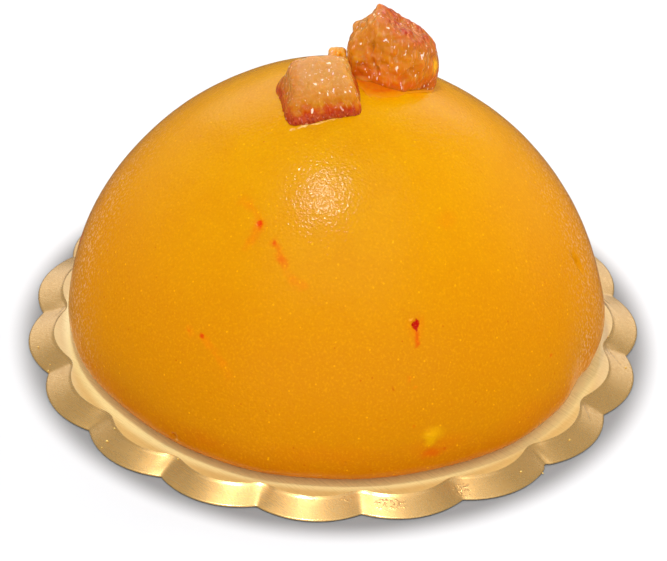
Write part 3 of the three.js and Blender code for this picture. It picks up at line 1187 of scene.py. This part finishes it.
@dataclass(frozen=True)
class DomeForm:
    """The dome as it left a half-sphere mould, with its lower edge drawn in."""

    radius: float = 40.0
    foot_radius: float = 38.0
    platform: float = 1.8
    widest: float = 3.6
    crown: float = 38.3
    roundness: float = 1.8
    foot_roundness: float = 3.0
    shift_y: float = 0.3
    swell_height: float = 3.0
    swell_reach: float = 6.0
    swells: tuple[Swell, ...] = (
        Swell(172.0, 7.0, -0.4),
        Swell(220.0, 12.0, -0.5),
        Swell(255.0, 9.0, 0.35),
        Swell(311.0, 9.0, 0.4),
        Swell(338.0, 6.0, -0.7),
        Swell(0.0, 8.0, 0.5),
    )
    chips: tuple[Chip, ...] = (
        Chip(-11.0, 2.8, 1.3, 2.6),
        Chip(-19.5, 2.2, 1.2, 2.4),
        Chip(-128.0, 2.0, 0.7, 1.4),
        Chip(74.0, 4.0, 0.8, 1.1),
        Chip(131.0, 5.0, 0.6, 0.9),
    )
    reliefs: tuple[Relief, ...] = (
        Relief((11.6, -30.5, 24.9), (0.7, 1.6, 1.1), -0.35),
        Relief((-11.4, -20.5, 34.5), (0.5, 0.8, 0.5), -0.12),
        Relief((14.6, -36.5, 9.4), (1.5, 2.5, 1.2), 0.3),
        Relief((14.8, -36.9, 7.2), (2.2, 2.5, 0.9), -0.12),
        Relief((2.3, -39.6, 6.3), (0.55, 1.5, 0.55), 0.12),
        Relief((2.3, -39.6, 6.3), (0.3, 1.5, 0.3), -0.2),
        Relief((11.4, -34.4, 18.7), (0.5, 1.0, 0.5), 0.08),
        Relief((35.5, -6.1, 19.6), (1.4, 0.75, 2.3), -0.6),
        Relief((-22.9, -32.5, 4.6), (0.6, 1.0, 0.6), -0.3),
    )

    def section(self, height: np.ndarray) -> np.ndarray:
        """Works out the dome's radius at heights above the platform.

        Args:
            height: Heights in millimetres.

        Returns:
            Radii in millimetres.
        """
        rise = np.clip((height - self.widest) / self.crown, 0.0, 1.0)
        down = np.clip((self.widest - height) / self.widest, 0.0, 1.0)
        upper = self.radius * (1.0 - rise**self.roundness) ** (1.0 / self.roundness)
        lower = self.radius - (self.radius - self.foot_radius) * down**self.foot_roundness
        return np.where(height >= self.widest, upper, lower)

    def top(self, across: np.ndarray, along: np.ndarray) -> np.ndarray:
        """Works out how high the dome's surface is over a point of the table.

        Args:
            across: X in millimetres.
            along: Y in millimetres.

        Returns:
            Z in millimetres.
        """
        share = np.clip(np.hypot(across, along - self.shift_y) / self.radius, 0.0, 1.0)
        rise = (1.0 - share**self.roundness) ** (1.0 / self.roundness)
        return self.platform + self.widest + self.crown * rise

    def swell(self, bearing: np.ndarray, height: np.ndarray) -> np.ndarray:
        """Works out how far the side swells.

        Args:
            bearing: Degrees.
            height: Millimetres above the platform.

        Returns:
            Millimetres.
        """
        total = np.zeros_like(height)
        for place in self.swells:
            total += place.amount * np.exp(-((bearing_gap(bearing, place.bearing) / place.spread) ** 2))
        return total * np.exp(-(((height - self.swell_height) / self.swell_reach) ** 2))

    def chipped(self, bearing: np.ndarray, height: np.ndarray) -> np.ndarray:
        """Works out how far the foot stands back where the glaze's edge is chipped.

        Args:
            bearing: Degrees.
            height: Millimetres above the platform.

        Returns:
            Millimetres.
        """
        back = np.zeros_like(height)
        for chip in self.chips:
            across = np.exp(-((bearing_gap(bearing, chip.bearing) / chip.spread) ** 4))
            back += chip.depth * across * fade(height, chip.height, chip.height * 0.6)
        return back

    def relief(self, points: np.ndarray) -> np.ndarray:
        """Works out the small bumps and hollows of the glaze.

        Args:
            points: One row a vertex, in millimetres.

        Returns:
            Heights in millimetres, outwards.
        """
        height = 0.07 * lumps(points, 11.0, 2.0, 1) + 0.02 * lumps(points, 3.0, 5.0, 2)
        for place in self.reliefs:
            height += place.raised(points)
        return height


@dataclass
class Dome:
    """The glazed dome: a sphere that is cut off at the tray and drawn to the mould's section."""

    form: DomeForm
    name: str = "dome_glazed"
    node: str = "dome"
    slices: int = 400
    rings: int = 220
    fine_below: float = 7.5
    sharp_angle: float = 55.0

    def build(self) -> bpy.types.Object:
        """Shapes the dome and its small marks.

        Returns:
            The finished dome.
        """
        form = self.form
        centre = Vector((0.0, form.shift_y, form.platform + form.widest)) * MM
        clear_selection()
        bpy.ops.mesh.primitive_uv_sphere_add(
            segments=self.slices, ring_count=self.rings, radius=form.radius * MM, location=centre
        )
        dome = new_piece(self.name)
        bpy.ops.object.mode_set(mode="EDIT")
        bpy.ops.mesh.select_all(action="SELECT")
        bpy.ops.mesh.bisect(
            plane_co=(0.0, 0.0, form.platform * MM),
            plane_no=(0.0, 0.0, 1.0),
            use_fill=True,
            clear_inner=True,
        )
        bpy.ops.object.mode_set(mode="OBJECT")
        self.draw(dome)
        low = read_points(dome)[:, 2]
        refine(dome, (low < self.fine_below) & (low > form.platform - 0.1), 1)
        for place in form.reliefs:
            away = np.abs(read_points(dome) - np.array(place.at))
            refine(dome, (away < np.array(place.reach) * 2.0 + 0.8).all(axis=1), 2)
        self.sculpt(dome)
        bpy.ops.object.shade_smooth_by_angle(angle=math.radians(self.sharp_angle))
        return dome

    def draw(self, dome: bpy.types.Object) -> None:
        """Draws the cut sphere to the mould's section.

        Args:
            dome: The cut sphere.
        """
        form = self.form
        points = read_points(dome)
        points[:, 1] -= form.shift_y
        rise = (points[:, 2] - form.platform - form.widest) / form.radius
        height = form.widest + np.where(rise > 0.0, form.crown, form.radius) * rise
        bearing = np.arctan2(points[:, 1], points[:, 0])
        reach = form.section(height)
        reach = np.where(np.hypot(points[:, 0], points[:, 1]) < 1e-4, 0.0, reach)
        points[:, 0] = reach * np.cos(bearing)
        points[:, 1] = reach * np.sin(bearing) + form.shift_y
        points[:, 2] = form.platform + height
        write_points(dome, points)

    def sculpt(self, dome: bpy.types.Object) -> None:
        """Pushes in the swells, the chipped foot and the small relief.

        Args:
            dome: The smooth dome.
        """
        form = self.form
        points = read_points(dome)
        flat = points - np.array([0.0, form.shift_y, 0.0])
        reach = np.hypot(flat[:, 0], flat[:, 1])
        height = points[:, 2] - form.platform
        bearing = np.degrees(np.arctan2(flat[:, 1], flat[:, 0]))
        outward = np.stack([flat[:, 0], flat[:, 1], np.zeros_like(reach)], axis=1)
        outward /= np.maximum(reach, 1e-6)[:, None]
        side = form.swell(bearing, height) - form.chipped(bearing, height)
        normals = read_normals(dome)
        above = fade(height, 0.0, 0.4)
        moved = points + outward * (side * fade(reach, 1.0, 8.0))[:, None]
        moved += normals * (form.relief(points) * above)[:, None]
        moved[:, 2] = np.maximum(moved[:, 2], form.platform)
        write_points(dome, moved)


# ------------------------------------------------------------------------------------------- fruit


@dataclass(frozen=True)
class Facet:
    """One face of a cut piece: what it faces, and its distance from the piece's middle in mm."""

    bearing: float
    slope: float
    distance: float
    crust: float = 0.0


@dataclass
class Fruit:
    """A piece of fruit, cut by hand, cooked soft and settled on the dome."""

    name: str
    node: str
    middle: Point
    roundness: float
    facets: tuple[Facet, ...]
    finish: FruitFinish
    form: DomeForm
    lump: float
    lump_height: float
    lobe_height: float
    fibre: Point
    fibre_height: float
    base_crust: float
    crust_height: float
    seed: float
    crust_lean: float = 0.0
    reliefs: tuple[Relief, ...] = ()
    detail: int = 7
    seat_gap: float = 0.02
    seat_steps: int = 20

    def closeness(self, directions: np.ndarray) -> np.ndarray:
        """Works out how much each facet shapes the piece in each direction.

        Args:
            directions: Unit vectors from the middle.

        Returns:
            One row a direction and one column a facet.
        """
        faces = np.array([heading(facet.bearing, facet.slope) for facet in self.facets])
        distances = np.array([facet.distance for facet in self.facets])
        return np.maximum(directions @ faces.T / distances, 0.0) ** self.roundness

    def build(self) -> bpy.types.Object:
        """Shapes the piece from a ball of small, even triangles.

        Returns:
            The finished piece.
        """
        clear_selection()
        bpy.ops.mesh.primitive_ico_sphere_add(subdivisions=self.detail, radius=1.0 * MM)
        fruit = new_piece(self.name)
        directions = read_points(fruit)
        directions /= np.linalg.norm(directions, axis=1)[:, None]
        pull = self.closeness(directions)
        reach = pull.sum(axis=1) ** (-1.0 / self.roundness)
        middle = np.array(self.middle)
        points = middle + directions * reach[:, None]
        coarse = lumps(points, self.lump, self.seed, 1)
        lobes = lumps(points, 1.2, self.seed + 5.0, 1)
        threads = lumps(points, self.fibre, self.seed + 7.0, 2)
        pimples = lumps(points, 0.4, self.seed + 3.0, 1)
        height = self.lump_height * coarse + self.lobe_height * lobes
        height += self.fibre_height * threads + 0.03 * pimples
        for place in self.reliefs:
            height += place.raised(points)
        points += directions * height[:, None]
        points = self.seated(points)
        above = points[:, 2] - self.form.top(points[:, 0], points[:, 1])
        share = pull / pull.sum(axis=1)[:, None]
        crust = share @ np.array([facet.crust for facet in self.facets])
        crust *= 0.75 + 0.5 * threads + 0.4 * lobes
        rim = self.crust_height + self.crust_lean * (middle[0] - points[:, 0])
        base = self.base_crust * fade((above + 0.25 * lobes + 0.2 * threads) / rim, 1.3, 0.6)
        write_shares(fruit, "crust", np.clip(np.maximum(crust, base), 0.0, 1.0))
        write_shares(fruit, "above", np.clip((above + 0.3 * threads) / LAYER_REACH, 0.0, 1.0))
        write_points(fruit, points)
        bpy.ops.object.shade_smooth()
        return fruit

    def seated(self, points: np.ndarray) -> np.ndarray:
        """Draws back what would lie inside the dome to the dome's surface, towards the middle.

        Args:
            points: The piece's vertices.

        Returns:
            The moved vertices.
        """
        middle = np.array(self.middle)
        inner, outer = np.zeros(len(points)), np.ones(len(points))
        for _ in range(self.seat_steps):
            share = (inner + outer) / 2.0
            tried = middle + (points - middle) * share[:, None]
            clear = tried[:, 2] > self.form.top(tried[:, 0], tried[:, 1]) + self.seat_gap
            inner = np.where(clear, share, inner)
            outer = np.where(clear, outer, share)
        sunk = points[:, 2] < self.form.top(points[:, 0], points[:, 1]) + self.seat_gap
        drawn = middle + (points - middle) * inner[:, None]
        return np.where(sunk[:, None], drawn, points)


# ------------------------------------------------------------------------------- syrup and crumbs


@dataclass(frozen=True)
class Pool:
    """One rounded part of the syrup: its middle on the table and its radius, in mm."""

    across: float
    along: float
    radius: float


@dataclass
class Syrup:
    """The thin syrup that ran out of the back piece of fruit and lies on the glaze round its foot."""

    form: DomeForm
    name: str = "syrup"
    middle: tuple[float, float] = (6.0, 4.0)
    size: float = 16.0
    steps: int = 110
    depth: float = 0.34
    sunk: float = 0.12
    pools: tuple[Pool, ...] = (
        Pool(2.6, 4.6, 2.2),
        Pool(4.6, 2.4, 2.5),
        Pool(6.6, 3.8, 2.9),
        Pool(9.4, 6.4, 2.6),
        Pool(11.4, 8.0, 2.4),
    )
    colour: int = 0xD46000
    thin_colour: int = 0xDC8400

    def depth_at(self, points: np.ndarray) -> np.ndarray:
        """Works out how deep the syrup is.

        Args:
            points: One row a vertex, in millimetres.

        Returns:
            Shares of the full depth, below 0 where there is none.
        """
        total = np.zeros(len(points))
        for pool in self.pools:
            away = np.hypot(points[:, 0] - pool.across, points[:, 1] - pool.along) / pool.radius
            total += np.exp(-1.8 * away**2)
        ripple = 0.12 * lumps(points * np.array([1.0, 1.0, 0.0]), 1.6, 21.0, 2)
        return np.minimum((total - 0.3 + ripple) / 0.6, 1.0)

    def build(self) -> bpy.types.Object:
        """Lays a fine grid on the dome, keeps the part that is wet and closes it underneath.

        Returns:
            The finished film.
        """
        clear_selection()
        bpy.ops.mesh.primitive_grid_add(
            x_subdivisions=self.steps,
            y_subdivisions=self.steps,
            size=self.size * MM,
            location=(self.middle[0] * MM, self.middle[1] * MM, 0.0),
        )
        film = new_piece(self.name)
        share = self.depth_at(read_points(film))
        bpy.ops.object.mode_set(mode="EDIT")
        bpy.ops.mesh.select_mode(type="VERT")
        bpy.ops.mesh.select_all(action="DESELECT")
        bpy.ops.object.mode_set(mode="OBJECT")
        film.data.vertices.foreach_set("select", share < -0.1)
        bpy.ops.object.mode_set(mode="EDIT")
        bpy.ops.mesh.delete(type="VERT")
        bpy.ops.object.mode_set(mode="OBJECT")
        points = read_points(film)
        share = self.depth_at(points)
        rise = np.sqrt(np.clip(share, 0.0, 1.0)) * self.depth + np.minimum(share, 0.0) * 2.0 * self.sunk
        points[:, 2] = self.form.top(points[:, 0], points[:, 1]) + rise
        write_points(film, points)
        write_shares(film, "deep", np.clip(share, 0.0, 1.0))
        closed = film.modifiers.new("film", "SOLIDIFY")
        closed.thickness = self.sunk * MM
        closed.offset = -1.0
        bpy.ops.object.modifier_apply(modifier=closed.name)
        bpy.ops.object.shade_smooth()
        return film

    def material(self) -> bpy.types.Material:
        """Builds the syrup's material.

        Returns:
            The material.
        """
        sketch = Sketch("syrup")
        streaks = sketch.noise(0.9, 3.0, 0.6)
        deep = sketch.math("MULTIPLY", sketch.own("deep"), sketch.span(streaks, 0.3, 0.6, 0.6, 1.0))
        sketch.set_shader(
            Base_Color=sketch.blend(deep, paint(self.thin_colour), paint(self.colour)),
            Roughness=0.3,
            Specular_IOR_Level=0.1,
            Subsurface_Weight=0.3,
            Subsurface_Radius=(1.0, 0.3, 0.05),
            Subsurface_Scale=0.8 * MM,
            Coat_Weight=0.5,
            Coat_Roughness=0.08,
            Coat_IOR=1.3,
            Coat_Normal=sketch.bump(sketch.noise(0.9, 2.0), 0.12),
        )
        return sketch.material


@dataclass(frozen=True)
class Crumb:
    """One crumb: its place on the table and its radius, in millimetres."""

    across: float
    along: float
    radius: float


@dataclass
class Crumbs:
    """Small golden crumbs on the tray's skirt, in one piece of many grains. Each middle lies at a
    share of its radius, the lift, above the foil."""

    tray: Tray
    name: str = "crumbs"
    seed: float = 5.0
    roughness: float = 0.25
    pit_size: float = 0.22
    pit_depth: float = 0.07
    lift: float = 0.6
    places: tuple[Crumb, ...] = (
        Crumb(-32.6, -29.5, 0.17),
        Crumb(-33.3, -30.5, 0.11),
        Crumb(-22.0, -34.2, 0.14),
        Crumb(-31.6, -27.3, 0.13),
        Crumb(-42.3, -12.1, 0.14),
        Crumb(31.2, -32.5, 0.13),
        Crumb(28.0, -33.4, 0.14),
        Crumb(35.1, -25.5, 0.15),
        Crumb(43.8, -6.4, 0.13),
        Crumb(41.2, -0.2, 0.14),
        Crumb(-44.1, -6.7, 0.13),
        Crumb(-42.1, -10.9, 0.11),
    )
    colour: int = 0xF8DC80
    deep_colour: int = 0xDDB050

    def build(self) -> bpy.types.Object:
        """Adds a grain at each place, joins them and roughens them.

        Returns:
            The joined crumbs.
        """
        grains = []
        for place in self.places:
            clear_selection()
            rest = self.tray.height_at(place.across, place.along)
            spot = Vector((place.across, place.along, rest + self.lift * place.radius)) * MM
            bpy.ops.mesh.primitive_ico_sphere_add(subdivisions=3, radius=place.radius * MM, location=spot)
            grains.append(new_piece(self.name))
        clear_selection()
        for grain in grains:
            grain.select_set(True)
        bpy.context.view_layer.objects.active = grains[0]
        bpy.ops.object.join()
        crumbs = grains[0]
        points = read_points(crumbs)
        height = self.pit_depth * lumps(points, self.pit_size, self.seed, 2)
        write_points(crumbs, points + read_normals(crumbs) * height[:, None])
        bpy.ops.object.shade_smooth()
        return crumbs

    def material(self) -> bpy.types.Material:
        """Builds the crumbs' material.

        Returns:
            The material.
        """
        sketch = Sketch("crumbs")
        tone = sketch.span(sketch.noise(0.2, 2.0), 0.35, 0.65)
        sketch.set_shader(
            Base_Color=sketch.blend(tone, paint(self.deep_colour), paint(self.colour)),
            Roughness=self.roughness,
            Normal=sketch.bump(sketch.noise(0.1, 1.0), 0.02),
        )
        return sketch.material


# ------------------------------------------------------------------------------------------- scene


@dataclass(frozen=True)
class Lamp:
    """A soft lamp that faces the cake: its name, outline, place and size in mm, its watts, and whether
    shiny things mirror it."""

    name: str
    outline: str
    place: Point
    size: tuple[float, float]
    power: float
    mirrored: bool = True


@dataclass(frozen=True)
class Studio:
    """The photograph's view, soft white light, and a pale floor with a soft shade painted round the
    tray, which stands in for the photograph's close shadow."""

    distance: float = 900.0
    elevation: float = 36.15
    lens: float = 322.9
    aim: Point = (-0.361, 4.894, 6.699)
    roll: float = 2.08
    floor_size: float = 4000.0
    ambient: float = 0.34
    below: float = 0.1
    haze_top: float = 0.08
    lamps: tuple[Lamp, ...] = (
        Lamp("overhead", "DISK", (-115.0, -83.0, 992.0), (122.0, 122.0), 3.9),
        Lamp("sky", "RECTANGLE", (0.0, -350.0, 1200.0), (1400.0, 1400.0), 4.6),
        Lamp("front", "RECTANGLE", (150.0, -1150.0, 400.0), (2400.0, 700.0), 11.4, False),
        Lamp("behind", "RECTANGLE", (0.0, 1500.0, 700.0), (1900.0, 1100.0), 6.3),
        Lamp("left", "RECTANGLE", (-1050.0, 900.0, 420.0), (1000.0, 800.0), 9.0, False),
        Lamp("right", "RECTANGLE", (1150.0, 800.0, 420.0), (1000.0, 800.0), 13.5, False),
    )
    shade_middle: Point = (0.3, -1.4, 0.0)
    shade_from: float = 44.2
    shade_to: float = 49.5
    shade_share: float = 0.75
    shade_tone: int = 0x606060
    floor_drop: float = 0.02
    floor_tones: tuple[int, int] = (0xE3E6E9, 0xE6E9EC)

    def build(self) -> None:
        """Sets the camera, the floor, the lamps and the world."""
        self.add_camera()
        self.add_floor()
        for lamp in self.lamps:
            self.add_lamp(lamp)
        self.add_world()

    def add_camera(self) -> None:
        """Puts the camera where the photograph was taken from."""
        rise = math.radians(self.elevation)
        eye = Vector((0.0, -math.cos(rise), math.sin(rise))) * self.distance * MM
        towards = Vector(self.aim) * MM - eye
        data = bpy.data.cameras.new("camera")
        data.lens = self.lens
        data.sensor_width = 36.0
        data.clip_start = 0.01
        camera = bpy.data.objects.new("camera", data)
        bpy.context.scene.collection.objects.link(camera)
        turn = towards.to_track_quat("-Z", "Y").to_matrix().to_4x4()
        roll = Matrix.Rotation(math.radians(self.roll), 4, "Z")
        camera.matrix_world = Matrix.Translation(eye) @ turn @ roll
        bpy.context.scene.camera = camera

    def add_floor(self) -> None:
        """Lays the white floor just under the tray, with a painted soft contact shadow round the tray's
        edge.
        """
        clear_selection()
        place = (0.0, 0.0, -self.floor_drop * MM)
        bpy.ops.mesh.primitive_plane_add(size=self.floor_size * MM, location=place)
        floor = new_piece("floor")
        sketch = Sketch("white_paper")
        tone = sketch.noise(60.0, 2.0)
        colour = sketch.blend(tone, paint(self.floor_tones[0]), paint(self.floor_tones[1]))
        # Painted shadow: the floor's colour darkens in a soft ring round the tray's edge.
        away = sketch.vector("SUBTRACT", sketch.place, tuple(Vector(self.shade_middle) * MM)).outputs[0]
        radius = sketch.length(away)
        shade = sketch.span(radius, self.shade_to * MM, self.shade_from * MM, 0.0, self.shade_share)
        colour = sketch.blend(shade, colour, paint(self.shade_tone))
        sketch.set_shader(Base_Color=colour, Roughness=0.9, Specular_IOR_Level=0.1)
        floor.data.materials.append(sketch.material)
        floor.visible_glossy = False

    def add_lamp(self, lamp: Lamp) -> None:
        """Adds a lamp.

        Args:
            lamp: What to add.
        """
        data = bpy.data.lights.new(lamp.name, "AREA")
        data.shape = lamp.outline
        data.size = lamp.size[0] * MM
        data.size_y = lamp.size[1] * MM
        data.energy = lamp.power
        light = bpy.data.objects.new(lamp.name, data)
        bpy.context.scene.collection.objects.link(light)
        place = Vector(lamp.place)
        light.location = place * MM
        light.rotation_euler = (-place).to_track_quat("-Z", "Y").to_euler()
        light.visible_camera = False
        light.visible_glossy = lamp.mirrored

    def add_world(self) -> None:
        """Fills the studio with even, soft light."""
        world = bpy.data.worlds.new("studio")
        world.use_nodes = True
        nodes, links = world.node_tree.nodes, world.node_tree.links
        split = nodes.new("ShaderNodeSeparateXYZ")
        links.new(nodes.new("ShaderNodeTexCoord").outputs["Generated"], split.inputs[0])
        sky = nodes.new("ShaderNodeMapRange")
        sky.inputs["From Min"].default_value = -self.haze_top
        sky.inputs["From Max"].default_value = self.haze_top
        sky.inputs["To Min"].default_value = self.below
        sky.inputs["To Max"].default_value = self.ambient
        links.new(split.outputs["Z"], sky.inputs["Value"])
        background = nodes["Background"]
        background.inputs["Color"].default_value = (1.0, 1.0, 1.0, 1.0)
        links.new(sky.outputs["Result"], background.inputs["Strength"])
        bpy.context.scene.world = world
        bpy.context.scene.view_settings.view_transform = "Standard"


def dress(piece: bpy.types.Object, material: bpy.types.Material, node: Optional[str]) -> None:
    """Gives a finished mesh its material and its place in the model.

    Args:
        piece: The mesh.
        material: Its finish.
        node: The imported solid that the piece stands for.
    """
    piece.data.materials.clear()
    piece.data.materials.append(material)
    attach(piece, BODY)
    if node is not None:
        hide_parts(node)
    triangles = sum(len(face.vertices) - 2 for face in piece.data.polygons)
    LOG.info("%s: %d triangles", piece.name, triangles)


def fruit_pieces(form: DomeForm) -> list[Fruit]:
    """Lists the pieces of fruit.

    Args:
        form: The dome that they lie on.

    Returns:
        The front piece, the back piece and the scrap between them.
    """
    front = Fruit(
        name="fruit_front_cooked",
        node="fruit_front",
        middle=(-2.6, -1.1, 44.5),
        roundness=5.5,
        facets=(
            Facet(-81.0, 16.0, 4.0),
            Facet(-85.0, 64.0, 3.95),
            Facet(192.0, 12.0, 5.6, 0.45),
            Facet(7.0, 18.0, 4.65),
            Facet(98.0, 27.0, 5.0),
            Facet(0.0, -90.0, 6.0),
        ),
        finish=FruitFinish(
            Flesh.PEACH,
            fibre_turn=(0.0, 25.0, 0.0),
            marks=(
                Trail((-9.0, 0.8, 43.4), (-8.6, -2.7, 42.4), 1.0, 0xA82800, 0.9),
                Trail((-8.6, -2.7, 42.4), (-7.6, -6.2, 42.2), 0.9, 0xA82800, 0.8),
                Mark((-5.6, -6.0, 43.1), (0.9, 1.0, 0.7), 0xC85020, 0.6),
                Mark((-2.2, -4.3, 46.2), (2.4, 1.6, 0.9), 0xD89038, 0.6, 1.0),
            ),
        ),
        form=form,
        lump=2.6,
        lump_height=0.35,
        lobe_height=0.12,
        fibre=(0.5, 0.5, 2.6),
        fibre_height=0.08,
        base_crust=1.0,
        crust_height=1.0,
        crust_lean=0.08,
        seed=3.0,
        reliefs=(
            Relief((-2.9, -3.7, 47.3), (1.3, 1.2, 0.7), 0.2),
            Relief((-5.6, -3.8, 47.2), (1.0, 1.0, 1.0), -0.25),
            Relief((-1.0, -4.6, 45.4), (1.8, 1.0, 0.7), -0.2),
            Relief((-4.5, -5.3, 45.0), (1.4, 1.0, 0.8), -0.2),
        ),
    )
    back = Fruit(
        name="fruit_back_cooked",
        node="fruit_back",
        middle=(6.8, 9.2, 46.4),
        roundness=6.0,
        facets=(
            Facet(-104.0, 20.0, 4.6),
            Facet(-49.0, 4.0, 5.4),
            Facet(0.0, 54.0, 4.3, 1.0),
            Facet(171.0, 39.0, 5.5),
            Facet(-2.0, 5.0, 6.85, 0.45),
            Facet(181.0, -21.0, 6.5),
            Facet(85.0, 8.0, 3.6, 0.5),
            Facet(0.0, -90.0, 8.6),
        ),
        finish=FruitFinish(
            Flesh.AMBER,
            fibre_turn=(30.0, 0.0, 0.0),
            fibre_size=0.5,
            marks=(
                Mark((1.6, 5.8, 46.6), (1.7, 1.6, 1.3), 0xDE9408, 0.85, 1.0),
                Trail((4.0, 5.6, 48.4), (4.1, 5.0, 46.6), 0.7, 0xC86808, 0.6),
                Trail((4.1, 5.0, 46.6), (4.8, 4.4, 45.4), 0.8, 0xC86808, 0.6),
                Mark((9.0, 5.4, 46.4), (2.2, 2.0, 1.4), 0xDC9018, 0.5, 1.0),
                Mark((13.4, 8.6, 43.6), (0.8, 2.2, 1.6), 0xF0B010, 0.8),
                Mark((12.0, 6.6, 41.3), (1.8, 2.0, 0.6), 0xA83808, 0.8),
                Mark((3.2, 4.6, 43.6), (1.8, 1.2, 0.7), 0xE89C10, 0.8),
            ),
        ),
        form=form,
        lump=3.0,
        lump_height=0.5,
        lobe_height=0.3,
        fibre=(0.8, 0.8, 1.6),
        fibre_height=0.1,
        base_crust=0.0,
        crust_height=0.8,
        seed=11.0,
        reliefs=(
            Relief((4.8, 10.8, 52.2), (0.8, 1.6, 0.7), 0.55),
            Relief((1.6, 11.0, 48.3), (0.9, 2.5, 1.0), 0.6),
            Relief((3.2, 10.6, 50.2), (0.9, 2.5, 1.0), -0.3),
            Relief((4.0, 5.7, 48.2), (0.35, 1.2, 0.9), -0.5),
            Relief((4.2, 5.0, 46.4), (0.4, 1.2, 0.8), -0.5),
            Relief((4.8, 4.4, 45.3), (0.5, 1.2, 0.6), -0.4),
            Relief((2.6, 5.4, 45.6), (1.2, 1.2, 0.6), -0.35),
            Relief((7.4, 4.8, 48.1), (0.5, 1.0, 0.5), 0.3),
            Relief((9.2, 4.9, 47.2), (0.6, 1.0, 0.5), 0.3),
            Relief((10.4, 5.6, 47.4), (0.5, 1.0, 0.6), 0.35),
            Relief((11.3, 6.0, 45.6), (0.7, 1.2, 0.8), 0.35),
            Relief((9.6, 4.9, 45.2), (0.8, 1.0, 0.5), -0.3),
            Relief((13.2, 9.6, 46.0), (0.8, 1.4, 0.7), 0.3),
            Relief((13.4, 8.7, 43.6), (0.9, 1.6, 1.4), 0.35),
            Relief((13.1, 9.0, 45.0), (0.6, 1.4, 0.4), -0.3),
            Relief((3.0, 4.6, 43.6), (1.6, 1.0, 0.55), 0.7),
        ),
    )
    scrap = Fruit(
        name="fruit_scrap_cooked",
        node="fruit_scrap",
        middle=(-0.8, 9.2, 44.0),
        roundness=3.5,
        facets=(
            Facet(-90.0, 10.0, 1.5),
            Facet(0.0, 0.0, 1.1),
            Facet(180.0, 0.0, 1.5),
            Facet(90.0, 10.0, 1.6),
            Facet(0.0, 90.0, 1.5),
            Facet(0.0, -90.0, 2.6),
        ),
        finish=FruitFinish(
            Flesh.YELLOW,
            marks=(
                Mark((-0.3, 8.2, 45.2), (0.9, 1.2, 0.9), 0xF0AC08, 0.9),
                Mark((-2.0, 8.6, 45.0), (0.7, 1.2, 0.8), 0xE09C60, 0.8),
            ),
        ),
        form=form,
        lump=0.9,
        lump_height=0.22,
        lobe_height=0.12,
        fibre=(0.4, 0.4, 0.8),
        fibre_height=0.06,
        base_crust=0.0,
        crust_height=0.5,
        seed=17.0,
        reliefs=(
            Relief((-0.4, 7.8, 45.3), (0.35, 1.0, 0.45), -0.6),
            Relief((-1.3, 8.2, 45.4), (0.25, 1.2, 0.8), -0.4),
            Relief((0.2, 7.6, 45.0), (0.35, 0.9, 0.8), 0.2),
        ),
        detail=6,
    )
    return [front, back, scrap]


def main() -> None:
    """Builds the scene in order and reports each piece."""
    logging.basicConfig(level=logging.INFO, format="%(name)s: %(message)s")
    Studio().build()
    form = DomeForm()
    tray = Tray()
    dress(tray.build(), FoilFinish().material(), tray.node)
    dome = Dome(form)
    dress(dome.build(), GlazeFinish().material(), dome.node)
    for fruit in fruit_pieces(form):
        dress(fruit.build(), fruit.finish.material(), fruit.node)
    syrup = Syrup(form)
    dress(syrup.build(), syrup.material(), None)
    crumbs = Crumbs(tray)
    dress(crumbs.build(), crumbs.material(), None)


if __name__ == "__main__":
    main()
